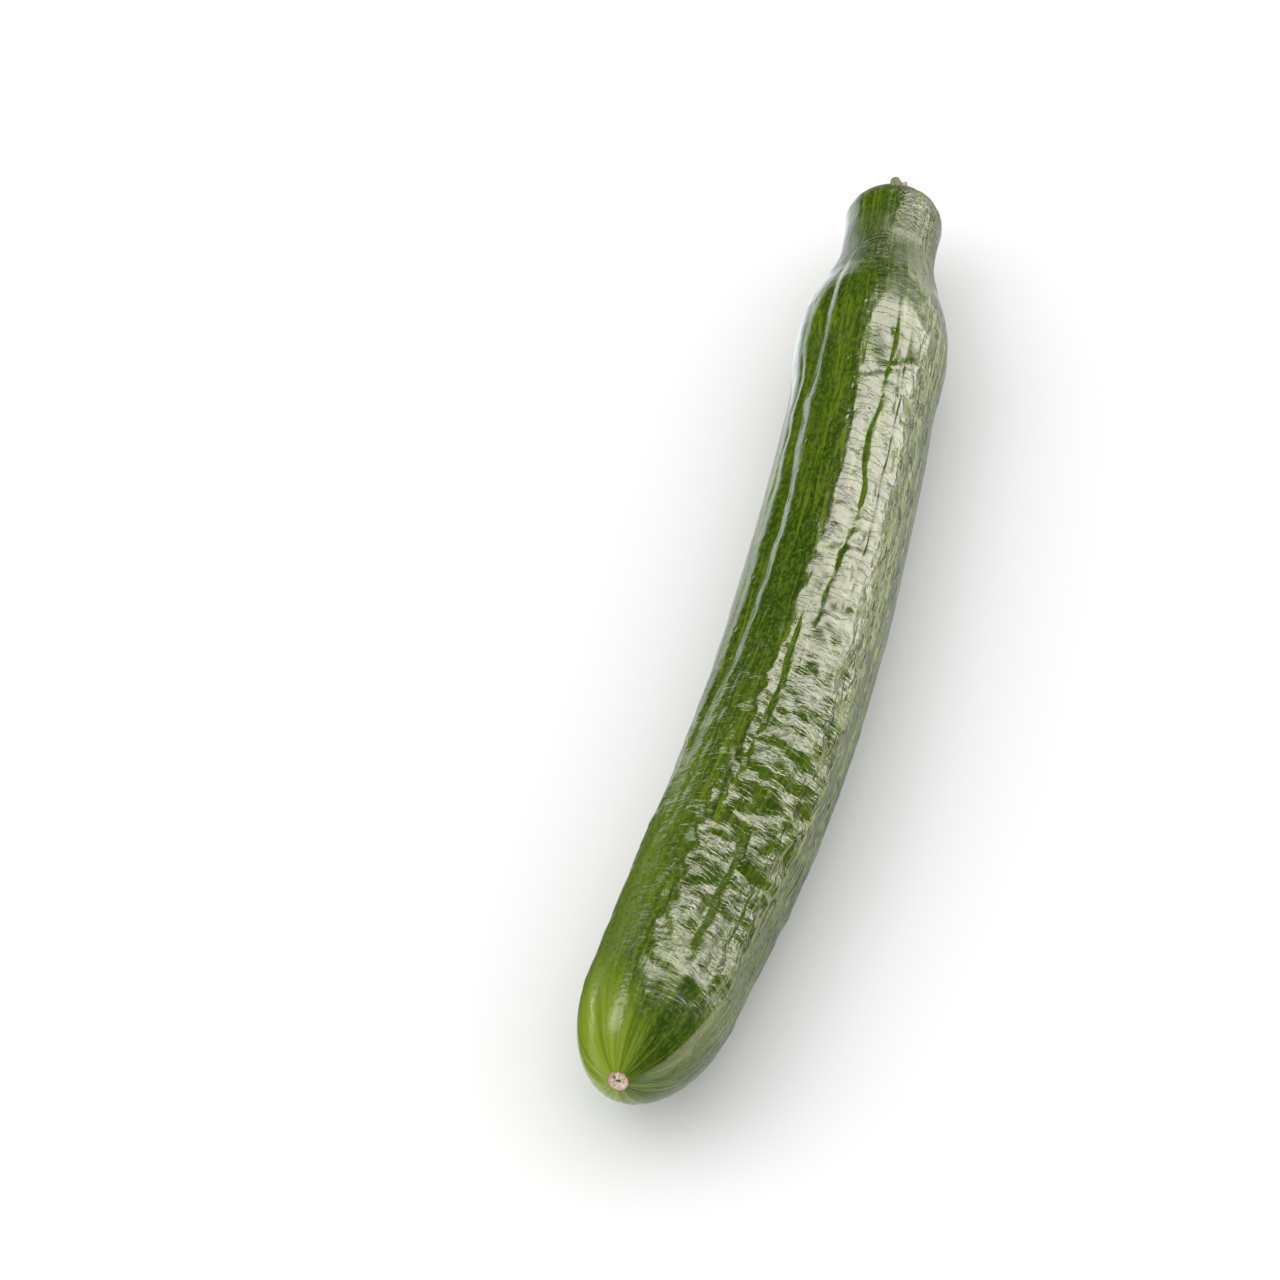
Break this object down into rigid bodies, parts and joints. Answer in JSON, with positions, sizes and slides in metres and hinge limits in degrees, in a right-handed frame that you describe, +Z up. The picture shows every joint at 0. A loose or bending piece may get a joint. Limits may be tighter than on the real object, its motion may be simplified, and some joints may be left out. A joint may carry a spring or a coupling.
{
  "type": "cucumber",
  "caption": "Long slightly curved slicing cucumber lying on its side, with a pinched neck, a corky blossom scar and a cut stalk stub.",
  "frame": {"origin": "on the floor, under the centre of the box round the cucumber as it lies on its side", "axes": "+X along the cucumber from the blossom end to the stalk end, +Z up, the outside of its bend towards -Y"},
  "size_m": [0.3574, 0.0482, 0.0426],
  "materials": {
    "skin": "natural glossy dark green rind, yellower towards the blossom end, with a pale corky scar",
    "stalk": "matt olive-green fibrous stalk with a pale cut face drying to brown"
  },
  "bodies": {
    "root": {"fruit": "skin", "stem": "stalk"}
  },
  "joints": []
}
